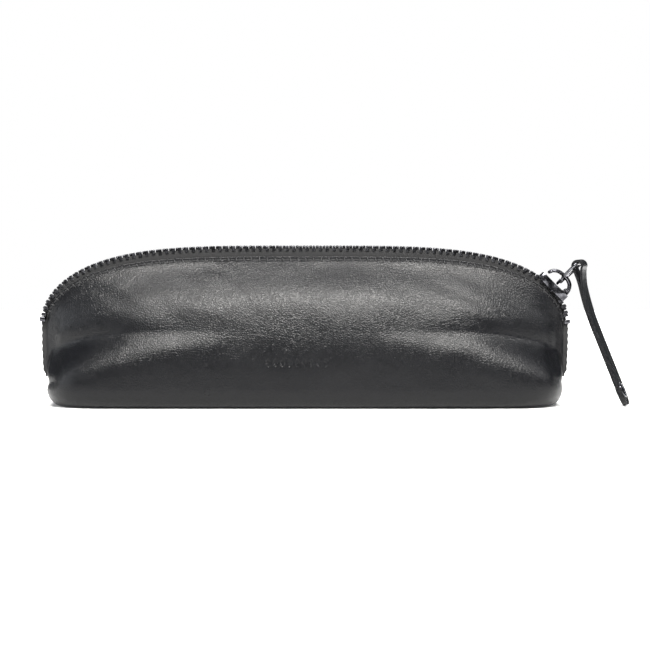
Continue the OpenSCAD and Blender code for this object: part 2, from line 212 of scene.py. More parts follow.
# %% Helpers for node trees
def new_finish(name):
    finish = bpy.data.materials.new(name)
    finish.use_nodes = True
    tree = finish.node_tree
    return finish, tree, tree.nodes["Principled BSDF"]


def add(tree, kind, links=(), **values):
    """Adds a node; values set its properties or inputs, and links join (output, input name) pairs."""
    node = tree.nodes.new(kind)
    for key, value in values.items():
        if hasattr(node, key):
            setattr(node, key, value)
        else:
            node.inputs[key.replace("_", " ")].default_value = value
    for output, socket in links:
        tree.links.new(output, node.inputs[socket])
    return node


def place(tree, scale=(1, 1, 1), turn=(0, 0, 0)):
    where = add(tree, "ShaderNodeTexCoord")
    mapping = add(tree, "ShaderNodeMapping", [(where.outputs["Object"], "Vector")])
    mapping.inputs["Scale"].default_value = scale
    mapping.inputs["Rotation"].default_value = turn
    return mapping.outputs["Vector"]


def ramp(tree, value, stops):
    """Turns a value into a colour or a grey; stops are (position, colour)."""
    node = add(tree, "ShaderNodeValToRGB", [(value, "Fac")])
    elements = node.color_ramp.elements
    while len(elements) < len(stops):
        elements.new(0.5)
    for element, (position, colour) in zip(elements, stops):
        element.position = position
        element.color = (*colour, 1) if hasattr(colour, "__len__") else (colour, colour, colour, 1)
    return node.outputs["Color"]


def bump(tree, height, strength, distance, below=None):
    links = [(height, "Height")] + ([(below, "Normal")] if below else [])
    return add(tree, "ShaderNodeBump", links, Strength=strength, Distance=distance).outputs["Normal"]


# %% [markdown]
# ### Leather
# Smooth-finished cowhide: black dye under a thin clear finish, with a grain of small pebbles and finer
# creases between them. A Voronoi pattern measured to its cell edges gives the pebbles their flat tops and
# also paints shade into the creases between them by darkening the colour there. A little noise bends the
# cells so that none looks drawn, and slow noise changes the gloss from place to place as handling does. A
# stretched noise adds the fine lines that run along the hide.


# %% The leather finish
def leather_finish(name, dye, gloss, grain):
    finish, tree, shader = new_finish(name)
    here = place(tree)
    drift = add(tree, "ShaderNodeTexNoise", [(here, "Vector")], Scale=420.0, Detail=2.0)
    bent = add(tree, "ShaderNodeMix", [(here, "A"), (drift.outputs["Color"], "B")], data_type="VECTOR")
    bent.inputs["Factor"].default_value = 0.0006
    pebbles = add(tree, "ShaderNodeTexVoronoi", [(bent.outputs["Result"], "Vector")],
                  feature="DISTANCE_TO_EDGE", Scale=1150.0)
    tops = ramp(tree, pebbles.outputs["Distance"], [(0.0, 0.0), (0.22, 0.75), (0.6, 1.0)])
    fine = add(tree, "ShaderNodeTexNoise", [(here, "Vector")], Scale=2600.0, Detail=3.0, Roughness=0.6)
    soft = add(tree, "ShaderNodeTexNoise", [(here, "Vector")], Scale=90.0, Detail=4.0, Roughness=0.55)
    worn = add(tree, "ShaderNodeTexNoise", [(here, "Vector")], Scale=38.0, Detail=3.0)
    colour = ramp(tree, worn.outputs["Fac"], [(0.3, tuple(c * 0.8 for c in dye)), (0.7, dye)])
    # Painted shade: in the creases between the pebbles the colour falls to 0.45 of the dye.
    crease_shade_painted = add(tree, "ShaderNodeMix", [(tops, "Factor"), (colour, "B")], data_type="RGBA")
    crease_shade_painted.inputs["A"].default_value = (*(c * 0.45 for c in dye), 1)
    tree.links.new(crease_shade_painted.outputs["Result"], shader.inputs["Base Color"])
    tree.links.new(ramp(tree, worn.outputs["Fac"], [(0.3, gloss - 0.05), (0.7, gloss + 0.06)]),
                   shader.inputs["Roughness"])
    drawn = add(tree, "ShaderNodeTexNoise", [(place(tree, (1, 1, 2.6), (0, 0.35, 0)), "Vector")],
                Scale=210.0, Detail=4.0, Roughness=0.62, Distortion=0.5)
    level = bump(tree, soft.outputs["Fac"], 0.3, 0.0006)
    level = bump(tree, drawn.outputs["Fac"], 0.22, 0.0003, level)
    level = bump(tree, tops, grain, 0.00008, level)
    level = bump(tree, fine.outputs["Fac"], grain * 0.5, 0.00004, level)
    tree.links.new(level, shader.inputs["Normal"])
    shader.inputs["Specular IOR Level"].default_value = 0.24
    return finish


leather = leather_finish("black_leather", (0.0050, 0.0053, 0.0068), 0.32, 0.7)
strap_leather = leather_finish("strap_hide", (0.0050, 0.0053, 0.0066), 0.30, 0.45)
print("leather finishes:", leather.name, strap_leather.name)

# %% [markdown]
# ### Woven finishes
# The zip tape is a narrow herringbone weave and the lining a plain one. Two crossed wave patterns give
# ribs and gaps at the pitch of the yarns, which is finer than a millimetre.


# %% The cloth finishes
def woven_finish(name, dark, light, yarns, turn):
    finish, tree, shader = new_finish(name)
    here = place(tree, turn=turn)
    warp = add(tree, "ShaderNodeTexWave", [(here, "Vector")], bands_direction="X", Scale=yarns,
               Distortion=1.2, Detail=1.0)
    weft = add(tree, "ShaderNodeTexWave", [(here, "Vector")], bands_direction="Z", Scale=yarns * 0.8,
               Distortion=1.2, Detail=1.0)
    weave = add(tree, "ShaderNodeMath", [(warp.outputs["Fac"], 0), (weft.outputs["Fac"], 1)],
                operation="MULTIPLY")
    fluff = add(tree, "ShaderNodeTexNoise", [(here, "Vector")], Scale=1400.0, Detail=3.0)
    tone = add(tree, "ShaderNodeMath", [(weave.outputs[0], 0), (fluff.outputs["Fac"], 1)],
               operation="MULTIPLY")
    tree.links.new(ramp(tree, tone.outputs[0], [(0.0, dark), (0.55, light)]), shader.inputs["Base Color"])
    level = bump(tree, weave.outputs[0], 0.7, 0.00012)
    tree.links.new(bump(tree, fluff.outputs["Fac"], 0.3, 0.00008, level), shader.inputs["Normal"])
    shader.inputs["Roughness"].default_value = 0.85
    shader.inputs["Sheen Weight"].default_value = 0.25
    return finish


tape_cloth = woven_finish("zip_tape", (0.004, 0.004, 0.0045), (0.018, 0.018, 0.020), 900, (0, 0.6, 0))
lining_cloth = woven_finish("lining_cloth", (0.020, 0.020, 0.022), (0.075, 0.075, 0.082), 620, (0, 0, 0))

# %% [markdown]
# ### Metal, thread and board
# The zip's metal is black nickel: a dark plate that still mirrors. The plate wears where parts rub, so
# noise mixes in a brighter tone. The thread is waxed and twisted, and the board is pressed paper fibre.


# %% The hard finishes
def nickel_finish(name, dark, light, gloss):
    finish, tree, shader = new_finish(name)
    here = place(tree)
    cloud = add(tree, "ShaderNodeTexNoise", [(here, "Vector")], Scale=350.0, Detail=3.0)
    scratch = add(tree, "ShaderNodeTexNoise", [(place(tree, (1, 1, 9)), "Vector")], Scale=900.0, Detail=4.0)
    colour = ramp(tree, cloud.outputs["Fac"], [(0.35, dark), (0.7, light)])
    tree.links.new(colour, shader.inputs["Base Color"])
    tree.links.new(ramp(tree, scratch.outputs["Fac"], [(0.3, gloss - 0.07), (0.75, gloss + 0.12)]),
                   shader.inputs["Roughness"])
    tree.links.new(bump(tree, scratch.outputs["Fac"], 0.12, 0.00003), shader.inputs["Normal"])
    shader.inputs["Metallic"].default_value = 1.0
    return finish


black_nickel = nickel_finish("black_nickel", (0.04, 0.04, 0.045), (0.15, 0.15, 0.165), 0.2)
tooth_nickel = nickel_finish("tooth_nickel", (0.022, 0.022, 0.024), (0.10, 0.10, 0.11), 0.3)


def fibre_finish(name, dark, light, roughness, scale, grain):
    finish, tree, shader = new_finish(name)
    fibres = add(tree, "ShaderNodeTexNoise", [(place(tree, grain), "Vector")], Scale=scale, Detail=5.0)
    colour = ramp(tree, fibres.outputs["Fac"], [(0.3, dark), (0.7, light)])
    tree.links.new(colour, shader.inputs["Base Color"])
    tree.links.new(bump(tree, fibres.outputs["Fac"], 0.4, 0.0001), shader.inputs["Normal"])
    shader.inputs["Roughness"].default_value = roughness
    return finish


waxed_thread = fibre_finish("waxed_thread", (0.003, 0.003, 0.0035), (0.014, 0.014, 0.016), 0.6, 2500,
                            (1, 1, 1))
fibre_board = fibre_finish("fibre_board", (0.10, 0.09, 0.08), (0.17, 0.155, 0.14), 0.8, 300, (1, 4, 1))
hard = (black_nickel, tooth_nickel, waxed_thread, fibre_board)
print("hard finishes:", [finish.name for finish in hard])

# %% [markdown]
# ## From a bmesh to a finished piece
# A piece is shaped in millimetres in a bmesh and then scaled once into the frame's metres, so its object
# stays at the origin. A hard piece rides on one body. The soft pieces of the mouth ride on no body: their
# place is baked into their mesh.


def finish_piece(name, bm, finish, stands_for=(), body=None, lip=None, sharp=None):
    """Makes the object, fixes it to the frame and says what it measures."""
    bm.transform(Matrix.Scale(MM, 4))
    for face in bm.faces:
        face.smooth = True
    mesh = bpy.data.meshes.new(name)
    bm.to_mesh(mesh)
    bm.free()
    if sharp:
        mesh.set_sharp_from_angle(angle=math.radians(sharp))
    mesh.materials.append(finish)
    piece = bpy.data.objects.new(name, mesh)
    bpy.context.scene.collection.objects.link(piece)
    if lip:
        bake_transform(piece)
    else:
        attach(piece, body)
    if stands_for:
        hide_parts(*stands_for)
    print(name, len(mesh.polygons), "faces,", " x ".join(f"{d / MM:.1f}" for d in piece.dimensions), "mm")
    return piece


def face_outwards(bm):
    bmesh.ops.recalc_face_normals(bm, faces=bm.faces)


def mirror_front(bm, side):
    """The front half is the back half mirrored, with its faces turned the right way again."""
    if side < 0:
        bmesh.ops.scale(bm, vec=(1, -1, 1), verts=bm.verts)
        bmesh.ops.reverse_faces(bm, faces=bm.faces)


HALVES = (("front", -1), ("back", 1))

# %% [markdown]
# ## The leather walls
# A real wall is one piece of hide, turned over at its top edge and stitched just below it. It could be
# sculpted by hand, but a grid moved by the wall's own rule keeps to the frame exactly. The rows crowd
# towards the top edge, where the turned edge and the stitch groove need them. A second pass moves each
# point along its normal: the groove with its puckers, the pinch at the two end seams, slow waves in the
# hide, the creases near the zip, and on the front a blind-stamped row of lozenges.

# %% The relief of the hide
STITCH_PITCH = 3.0
STITCH_DROP = 1.15        # from the leather's edge down to the stitches
GROOVE_DEPTH, GROOVE_W = 0.26, 0.55
BEAD_HEIGHT, BEAD_DROP, BEAD_W = 0.36, 0.35, 0.42
SHOULDER_HEIGHT, SHOULDER_DROP, SHOULDER_W = 0.9, 15, 9
HOLLOW_FILL = 1.5         # fills the hollow above the belly, away from the middle
STAMP_DEPTH = 0.24
COLUMNS = 360
ROWS = 92
LOZENGES = 9
lozenge_at = Vector((-2.8, 0, 17.9))
lozenge_size = Vector((2.0, 0, 3.4))
lozenge_pitch = 2.75


def bell(x, width):
    return math.exp(-(x / width) ** 2)


def row_place(t):
    """Spreads the grid's rows over the base, the bottom edge and the wall, closer near the top."""
    if t < 0.1:
        return t / 0.1
    if t < 0.24:
        return 1 + (t - 0.1) / 0.14
    return 3 - (1 - (t - 0.24) / 0.76) ** 1.45


def stamped(x, z):
    """Depth of the blind stamp: 1 inside a lozenge's outline ring, 0 outside."""
    step = round((x - lozenge_at.x) / lozenge_pitch)
    if abs(step) > LOZENGES // 2:
        return 0
    u = abs(x - lozenge_at.x - step * lozenge_pitch) / lozenge_size.x * 2
    w = abs(z - lozenge_at.z) / lozenge_size.z * 2
    return smooth((1.12 - (u + w)) / 0.3)


def creases(p):
    """Soft slanting creases near the zip, strongest at the left shoulder."""
    lean = p.x * 0.62 + p.z * 1.25
    slant = noise.noise(Vector((lean * 0.16, p.x * 0.035, 3.0)))
    at_left = smooth((10 - p.x) / 70) * smooth((p.z - 30) / 14)
    at_right = smooth((p.x - 20) / 40) * smooth((p.z - 24) / 14) * 0.8
    return slant * 0.30 * max(at_left, at_right)


def edge_relief(below_edge, along):
    """The stitch groove and the turned edge above it, both drawn in at every stitch."""
    pucker = 0.5 + 0.5 * math.cos(2 * math.pi * along / STITCH_PITCH)
    groove = GROOVE_DEPTH * bell(below_edge - STITCH_DROP, GROOVE_W) * (0.55 + 0.45 * pucker)
    bead = BEAD_HEIGHT * bell(below_edge - BEAD_DROP, BEAD_W) * (1 - 0.3 * pucker)
    return bead - groove


def waves(p, side):
    """The hide's own unevenness: slow waves, middling ones and the creases near the zip."""
    slow = noise.noise(Vector((p.x * 0.030, p.z * 0.05, side * 4.0)))
    middle = noise.noise(Vector((p.x * 0.085, p.z * 0.11, 9.0 + side)))
    return 0.55 * slow + 0.16 * middle + creases(p)


def end_relief(p, off_middle, ends):
    """The pinch in the end seam, stronger at the left, and the upright fold beside it."""
    beside = off_middle - mix(83, 76, (p.z - belly) / 13)
    share = 1 if p.x < 0 else 0.45
    pinch = share * ends * (0.3 * bell(p.z - 5.0, 2.4) - 0.8 * bell(p.z - 9.6, 1.9))
    ridge = 0.45 * bell(beside, 2.2) * smooth((p.z - 8) / 3) * smooth((24 - p.z) / 8)
    valley = 0.5 * bell(beside + 6, 3.5) * smooth((p.z - 8) / 4) * smooth((30 - p.z) / 9)
    return pinch + ridge - valley


def relief(p, turn, v, side):
    """How far the hide stands off the plain wall, in millimetres."""
    below_edge = (1 - max(v - 2, 0)) * (leather_edge(turn).z - belly)
    off_middle = abs(math.degrees(turn))
    near_top = smooth((v - 2.2) / 0.3)
    on_wall = smooth((v - 1.2) / 0.8) * smooth(below_edge / 6)
    ends = smooth((abs(math.sin(turn)) - 0.93) / 0.06)
    sides = smooth((off_middle - 22) / 20) * (1 - smooth((off_middle - 66) / 10))
    out = edge_relief(below_edge, chain_length(turn)) * near_top
    out += SHOULDER_HEIGHT * bell(below_edge - SHOULDER_DROP, SHOULDER_W) * (1 - ends) * near_top
    out += HOLLOW_FILL * bell(v - 2.5, 0.2) * sides
    out += waves(p, side) * on_wall * (1 - ends)
    if v >= 1:
        out += end_relief(p, off_middle, ends)
    if side < 0 and v > 2:
        out -= STAMP_DEPTH * stamped(p.x, p.z)
    return out


# %% Building the two walls
def in_stamp(face):
    middle = face.calc_center_median()
    half_run = lozenge_pitch * LOZENGES / 2 + 1
    return abs(middle.x - lozenge_at.x) < half_run and abs(middle.z - lozenge_at.z) < 3 and middle.y > 5


def leather_wall(name, side):
    bm = bmesh.new()
    bmesh.ops.create_grid(bm, x_segments=COLUMNS, y_segments=ROWS, size=1)
    turn_layer = bm.verts.layers.float.new("turn")
    row_layer = bm.verts.layers.float.new("row")
    for vert in bm.verts:
        vert[turn_layer] = vert.co.x * math.pi / 2
        vert[row_layer] = row_place((vert.co.y + 1) / 2)
        vert.co = skin(vert[turn_layer], vert[row_layer])
    if side < 0:
        stamp_edges = list({edge for face in bm.faces if in_stamp(face) for edge in face.edges})
        bmesh.ops.subdivide_edges(bm, edges=stamp_edges, cuts=3, use_grid_fill=True)
    bmesh.ops.reverse_faces(bm, faces=bm.faces)
    bm.normal_update()
    bm.faces.ensure_lookup_table()
    if bm.faces[0].normal.z > 0:
        bmesh.ops.reverse_faces(bm, faces=bm.faces)
        bm.normal_update()
    moves = [(vert, vert.normal * relief(vert.co, vert[turn_layer], vert[row_layer], side))
             for vert in bm.verts]
    for vert, move in moves:
        vert.co += move
        vert.co.y = max(vert.co.y, join)
    outer = set(bm.verts)
    bmesh.ops.solidify(bm, geom=bm.faces, thickness=leather_t)
    inner = [vert for vert in bm.verts if vert not in outer]
    for vert in inner:
        vert.co.y = max(vert.co.y, join)
    mirror_front(bm, side)
    return bm


for half, side in HALVES:
    bm = leather_wall(half, side)
    low = min(vert.co.z for vert in bm.verts)
    print(half, "lowest", round(low, 3), "widest", round(max(abs(vert.co.y) for vert in bm.verts), 2))
    finish_piece(f"{half}_leather", bm, leather, [f"{half}_panel"], lip=f"{half}_lip")

# %% [markdown]
# ## The lining
# A woven lining hangs inside each wall and covers the board. It is cloth sewn in along the zip, so it is a
# thin sheet that keeps a little slack: shallow folds run down from the stitched edge.

# %% Lining
LINING_DEPTH = 2.45
LINING_TOP = 0.955
LINING_FLOOR = 2.6


def lining_sheet(side):
    bm = bmesh.new()
    bmesh.ops.create_grid(bm, x_segments=150, y_segments=44, size=1)
    for vert in bm.verts:
        turn = vert.co.x * math.pi / 2
        v = (vert.co.y + 1) / 2 * (2 + LINING_TOP)
        slack = noise.noise(Vector((vert.co.x * 16, vert.co.y * 1.3, side * 5.0)))
        depth = LINING_DEPTH + 0.55 * abs(slack) * smooth(v - 1.2)
        vert.co = inside(turn, v, depth, seam + 0.1 if v >= 2 else join)
        vert.co.z = max(vert.co.z, LINING_FLOOR)
    bmesh.ops.reverse_faces(bm, faces=bm.faces)
    bmesh.ops.solidify(bm, geom=bm.faces, thickness=0.35)
    for vert in bm.verts:
        vert.co.y = max(vert.co.y, join)
    face_outwards(bm)
    mirror_front(bm, side)
    return bm


for half, side in HALVES:
    finish_piece(f"{half}_lining_cloth", lining_sheet(side), lining_cloth,
                 [f"{half}_lining"], lip=f"{half}_lip")

# %% [markdown]
# ## The zip tapes
# Each tape is a narrow woven strip. Its upper edge carries the teeth and its lower edge is sewn behind
# the leather. The strip follows three lines: among the teeth, at the leather's edge, and down behind it.
# A grid of few rows is enough, because the tape is straight between those lines.

# %% Tapes
TAPE_REACH = 88
TAPE_DEPTH = 1.65
TAPE_T = 0.5
PARTING = 1.45            # how far each row moves aside at the slider's nose


def aside(length):
    """How far a row stands off the middle of the zip, beyond the slider's throat."""
    beyond = length - slider_length
    return PARTING * smooth((beyond + 1) / 5) * (1 - smooth((beyond - 6) / 6))


def tape_point(turn, row):
    """A point on the tape's inner face: row 0 among the teeth, 1 at the leather's edge, 2 sewn down."""
    edge = inside(turn, 3, TAPE_DEPTH + TAPE_T, 0.05)
    if row >= 1:
        return inside(turn, mix(3, 2.9, row - 1), TAPE_DEPTH + TAPE_T, 0.05)
    top = arch(turn) - out_of_arch(turn) * (tooth_h - 0.85)
    top.y = edge.y * 0.86 + aside(chain_length(turn))
    sag = math.sin(math.pi * row) * 0.18
    return top.lerp(edge, row) - out_of_arch(turn) * sag


def tape_strip(side):
    bm = bmesh.new()
    bmesh.ops.create_grid(bm, x_segments=220, y_segments=10, size=1)
    for vert in bm.verts:
        vert.co = tape_point(math.radians(vert.co.x * TAPE_REACH), 1 - vert.co.y)
    bm.normal_update()
    bmesh.ops.solidify(bm, geom=bm.faces, thickness=TAPE_T - 0.08)
    for vert in bm.verts:
        vert.co.y = max(vert.co.y, join)
    face_outwards(bm)
    mirror_front(bm, side)
    return bm


for half, side in HALVES:
    finish_piece(f"{half}_zip_tape", tape_strip(side), tape_cloth, [f"{half}_tape"],
                 lip=f"{half}_lip", sharp=50)

# %% [markdown]
# ## The teeth
# A metal tooth is stamped with two legs that clamp the tape's edge and a narrower head that nests between
# the heads of the other row. One tooth is drawn as an outline, raised and beveled; the rest are copies of
# it placed along the arch, with the back row half a pitch behind the front one.

# %% Teeth
TOOTH_PITCH = 2.6
TOOTH_W = 1.12
LEG_EXTRA = 0.09          # the legs are this much wider than the head, each side
CROWN_ROUND = 0.34
TOOTH_REACH = 3.0
TOOTH_CROSS = 0.75
TEETH_FROM, TEETH_TO = -84.5, 86
ACROSS = Vector((0, 1, 0))


def outline(points, z=0.0):
    """A flat face from a few corners, in a new bmesh."""
    bm = bmesh.new()
    verts = [bm.verts.new((x, y, z)) for x, y in points]
    bmesh.ops.contextual_create(bm, geom=verts)
    return bm


def raise_face(bm, height):
    """Extrudes everything upwards and turns the result the right way out."""
    made = bmesh.ops.extrude_face_region(bm, geom=bm.faces[:])
    lifted = [item for item in made["geom"] if isinstance(item, bmesh.types.BMVert)]
    bmesh.ops.translate(bm, vec=(0, 0, height), verts=lifted)
    face_outwards(bm)
    return lifted


def one_tooth():
    leg, head = TOOTH_W / 2 + LEG_EXTRA, TOOTH_W / 2
    half = [(leg, TOOTH_CROSS + 0.45), (leg, TOOTH_REACH - 0.3), (leg - 0.3, TOOTH_REACH)]
    tip = [(head - 0.25, -TOOTH_CROSS), (head, 0.25 - TOOTH_CROSS), (head, TOOTH_CROSS + 0.1)]
    right = tip + half
    bm = outline(right + [(-x, y) for x, y in reversed(right)], -tooth_h)
    top = raise_face(bm, tooth_h)
    bmesh.ops.scale(bm, vec=(0.86, 0.95, 1), space=Matrix.Translation((0, -1.1, 0)), verts=top)
    crown = [edge for edge in bm.edges if all(vert in top for vert in edge.verts)]
    bmesh.ops.bevel(bm, geom=crown, offset=CROWN_ROUND, segments=3, profile=0.5, affect="EDGES", material=-1)
    mesh = bpy.data.meshes.new("one_tooth")
    bm.to_mesh(mesh)
    bm.free()
    return mesh


def on_arch(turn, y=0.0):
    """Places a shape on the arch: its X along the zip, its Z out of the case."""
    return placed(along_arch(turn), ACROSS, out_of_arch(turn), arch(turn) + ACROSS * y)


def add_copy(bm, mesh, matrix):
    start = len(bm.verts)
    bm.from_mesh(mesh)
    bm.verts.ensure_lookup_table()
    bmesh.ops.transform(bm, matrix=matrix, verts=bm.verts[start:])


def tooth_row(side):
    offset = TOOTH_PITCH / 2 if side > 0 else 0
    first, last = length_at(TEETH_FROM) + offset, length_at(TEETH_TO)
    bm = bmesh.new()
    for i in range(int((last - first) / TOOTH_PITCH) + 1):
        length = first + i * TOOTH_PITCH
        add_copy(bm, tooth_mesh, on_arch(turn_at(length), aside(length)))
    mirror_front(bm, side)
    return bm


tooth_mesh = one_tooth()
for half, side in HALVES:
    finish_piece(f"{half}_tooth_row", tooth_row(side), tooth_nickel, [f"{half}_teeth"],
                 lip=f"{half}_lip", sharp=35)
bpy.data.meshes.remove(tooth_mesh)

# %% [markdown]
# ## The stitching
# A saddle stitch shows as a short run of thread between two slanted awl slits, and the thread dives into
# each slit. So each stitch here is a run lying in the groove and a short steep turn at its end, both thin
# rounded rods. They take the hide's relief into account, which keeps them in the groove.

# %% Stitches
THREAD_R = 0.27
RUN, DIVE = 2.2, 1.7      # length on the hide, and of the turn into the slit
SLIT_LEAN = 74            # degrees from the seam to the slit


def rounded_rod(length, radius):
    """A rod along X with domed ends: a sphere of few faces, pulled long."""
    bm = bmesh.new()
    bmesh.ops.create_uvsphere(bm, u_segments=8, v_segments=6, radius=radius,
                              matrix=Matrix.Rotation(math.pi / 2, 4, "Y"))
    far = [vert for vert in bm.verts if vert.co.x > 0.01]
    near = [vert for vert in bm.verts if vert.co.x < -0.01]
    bmesh.ops.translate(bm, vec=(length / 2 - radius, 0, 0), verts=far)
    bmesh.ops.translate(bm, vec=(radius - length / 2, 0, 0), verts=near)
    mesh = bpy.data.meshes.new("rod")
    bm.to_mesh(mesh)
    bm.free()
    return mesh


def on_hide(length, side, drop, lift):
    """A frame on the wall below its edge: X along the seam, Z out of the hide."""
    turn = turn_at(length)
    v = 3 - drop / (leather_edge(turn).z - belly)
    z = skin_out(turn, v)
    p = skin(turn, v)
    p = p + z * (relief(p, turn, v, side) + lift)
    x = (skin(turn + 0.004, v) - skin(turn - 0.004, v)).normalized()
    return placed(x, z.cross(x), z, p)


def stitch_row(side):
    run, dive = rounded_rod(RUN, THREAD_R), rounded_rod(DIVE, THREAD_R * 1.1)
    steep = Matrix.Rotation(math.radians(SLIT_LEAN), 4, "Z") @ Matrix.Rotation(math.radians(4), 4, "Y")
    first, last = length_at(-84), length_at(86)
    bm = bmesh.new()
    for i in range(int((last - first) / STITCH_PITCH)):
        length = first + (i + 0.5) * STITCH_PITCH
        add_copy(bm, run, on_hide(length, side, STITCH_DROP, 0.08))
        add_copy(bm, dive, on_hide(length + STITCH_PITCH / 2, side, STITCH_DROP + 0.1, 0.14) @ steep)
    mirror_front(bm, side)
    for mesh in (run, dive):
        bpy.data.meshes.remove(mesh)
    return bm


for half, side in HALVES:
    finish_piece(f"{half}_stitches", stitch_row(side), waxed_thread, [f"{half}_stitching"],
                 lip=f"{half}_lip")

# %% [markdown]
# ## Stops and tape tails
# The zip ends in three small clamps: one across both rows at the left and one on each row at the right.
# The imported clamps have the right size, so a copy of each is merged and its edges are rounded. Below the
# stops the two tapes are sewn together into a flat tail that stands a little out of the end seam.

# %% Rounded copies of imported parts
def rounded_copy(node, radius, segments=2, angle=30):
    """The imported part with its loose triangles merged, its flat faces joined and its edges rounded."""
    bm = bmesh.new()
    bm.from_mesh(frame["nodes"][node].data)
    bm.transform(Matrix.Scale(1 / MM, 4))
    bmesh.ops.remove_doubles(bm, verts=bm.verts, dist=0.002)
    limit = math.radians(angle)
    bmesh.ops.dissolve_limit(bm, angle_limit=math.radians(2), verts=bm.verts, edges=bm.edges)
    sharp = [edge for edge in bm.edges if edge.is_manifold and edge.calc_face_angle() > limit]
    bmesh.ops.bevel(bm, geom=sharp, offset=radius, segments=segments, profile=0.5, affect="EDGES",
                    material=-1, clamp_overlap=True)
    return bm


for node in ("bottom_stop", "front_top_stop", "back_top_stop"):
    finish_piece(f"{node}_clamp", rounded_copy(node, 0.28, 3), black_nickel, [node],
                 body="case", sharp=40)


# %% Tape tails
def tape_tail(side):
    """A flat sewn tail, scalloped along its outer edge and notched at its foot."""
    low, high = (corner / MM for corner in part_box("right_tape_end"))
    bm = bmesh.new()
    bmesh.ops.create_grid(bm, x_segments=16, y_segments=60, size=1)
    for vert in bm.verts:
        across, along = (vert.co.x + 1) / 2, (vert.co.y + 1) / 2
        z = mix(low.z, high.z + 3, along)
        outer = high.x - 0.5 + 0.45 * smooth(along * 1.6) - 0.9 * bell(along - 0.02, 0.06)
        ripple = 0.10 * math.sin(z * 2.4)
        vert.co = Vector((mix(low.x, outer + ripple, across), 0.25 * noise.noise(Vector((z * 0.3, 0, 2))), z))
    bm.normal_update()
    bmesh.ops.solidify(bm, geom=bm.faces, thickness=0.8)
    middle = sum(vert.co.y for vert in bm.verts) / len(bm.verts)
    bmesh.ops.translate(bm, vec=(0, -middle, 0), verts=bm.verts)
    face_outwards(bm)
    if side < 0:
        bmesh.ops.scale(bm, vec=(-1, 1, 1), verts=bm.verts)
        bmesh.ops.reverse_faces(bm, faces=bm.faces)
    return bm


for end, side in (("left", -1), ("right", 1)):
    finish_piece(f"{end}_tape_tail", tape_tail(side), tape_cloth, [f"{end}_tape_end"],
                 body="case", sharp=50)

# %% [markdown]
# ## The slider
# A slider is a casting: a top plate with turned-down flanges, a wedge that parts the rows, a lower plate,
# and a hooked crown that holds the pull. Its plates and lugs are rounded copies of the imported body, so
# that they keep the design's sizes. The crown is shaped afresh as a bent bar, because on the real one
# its tip flares like a duck's tail.

# %% Slider body, pin and spring
finish_piece("slider_casting", rounded_copy("slider_body", 0.16), black_nickel,
             ["slider_body"], body="slider", sharp=35)
finish_piece("crown_rivet", rounded_copy("crown_pin", 0.14), black_nickel,
             ["crown_pin"], body="carrier", sharp=35)
finish_piece("spring_leaf", rounded_copy("lock_spring", 0.05, 1), black_nickel,
             ["lock_spring"], body="slider", sharp=35)


# %% A bar swept along a path
def sweep(stations, sides, closed=False):
    """Sweeps a ring through the stations. Each is a matrix that places a unit circle."""
    bm = bmesh.new()
    made = bmesh.ops.create_circle(bm, segments=sides, radius=1, cap_ends=False)
    bmesh.ops.transform(bm, matrix=stations[0], verts=made["verts"])
    first = bm.edges[:]
    ring = first
    for before, after in zip(stations, stations[1:]):
        made = bmesh.ops.extrude_edge_only(bm, edges=ring)["geom"]
        ring = [item for item in made if isinstance(item, bmesh.types.BMEdge) and item.is_boundary]
        verts = [item for item in made if isinstance(item, bmesh.types.BMVert)]
        bmesh.ops.transform(bm, matrix=after @ before.inverted(), verts=verts)
    if closed:
        bmesh.ops.bridge_loops(bm, edges=first + ring)
    else:
        bmesh.ops.edgeloop_fill(bm, edges=first)
        bmesh.ops.edgeloop_fill(bm, edges=ring)
    face_outwards(bm)
    return bm


def station(centre, ahead, sideways, half_width, half_thickness):
    """A ring at centre, square to ahead, wide along sideways."""
    ahead = ahead.normalized()
    up = ahead.cross(sideways).normalized()
    side = up.cross(ahead)
    return placed(side * half_width, up * half_thickness, ahead, centre)


# %% The crown
SLIDER_LEN = 13.0
PLATE_TOP = 1.3
CROWN_W = 2.4
crown_half = SLIDER_LEN / 2 - 0.4
CROWN_RISE = 4.8


def crown_line(t):
    """Middle line of the crown in the slider's frame: up from its root, over, and down to the tip."""
    angle = math.radians(mix(-4, 171, t))
    full = 0.8
    c, s = math.cos(angle), math.sin(angle)
    x = 0.3 + (crown_half - 0.75) * math.copysign(abs(c) ** full, c)
    return Vector((x, 0, PLATE_TOP + CROWN_RISE * math.copysign(abs(s) ** full, s)))


def crown_bar():
    steps = 34
    rings = []
    for i in range(steps + 1):
        t = i / steps
        here = crown_line(t)
        ahead = crown_line(min(t + 0.01, 1)) - crown_line(max(t - 0.01, 0))
        tail = smooth((t - 0.62) / 0.3)
        close = 1 - 0.75 * smooth((t - 0.955) / 0.045)
        width = CROWN_W / 2 * (1 + 0.42 * tail) * close
        thick = mix(0.85, 0.75, smooth((t - 0.25) / 0.6)) * mix(close, 1, 0.3)
        rings.append(station(here, ahead, ACROSS, width, thick))
    bm = sweep(rings, 20)
    bm.transform(on_arch(math.radians(SLIDER_AT)))
    return bm


finish_piece("crown_hook", crown_bar(), black_nickel, ["slider_crown"], body="slider", sharp=50)

# %% [markdown]
# ## The link
# A wire stirrup joins the crown to the strap: a narrow rounded end inside the hook and a wide end in the
# strap's loop. It is one closed path, swept with a round wire, so it has no joint to hide.

# %% Link
LINK_R = 0.55
LINK_LEN = 11.2
LINK_HALF_IN = 2.35
LINK_HALF_OUT = 5.15
joints = {joint["name"]: joint for joint in frame["joints"]}
link_at = Vector(joints["link_swing"]["pos_m"]) / MM
bar_at = Vector(joints["strap_swing"]["pos_m"]) / MM
bar_axis = -Vector(joints["strap_swing"]["axis"]).normalized()
link_ahead = (bar_at - link_at).normalized()


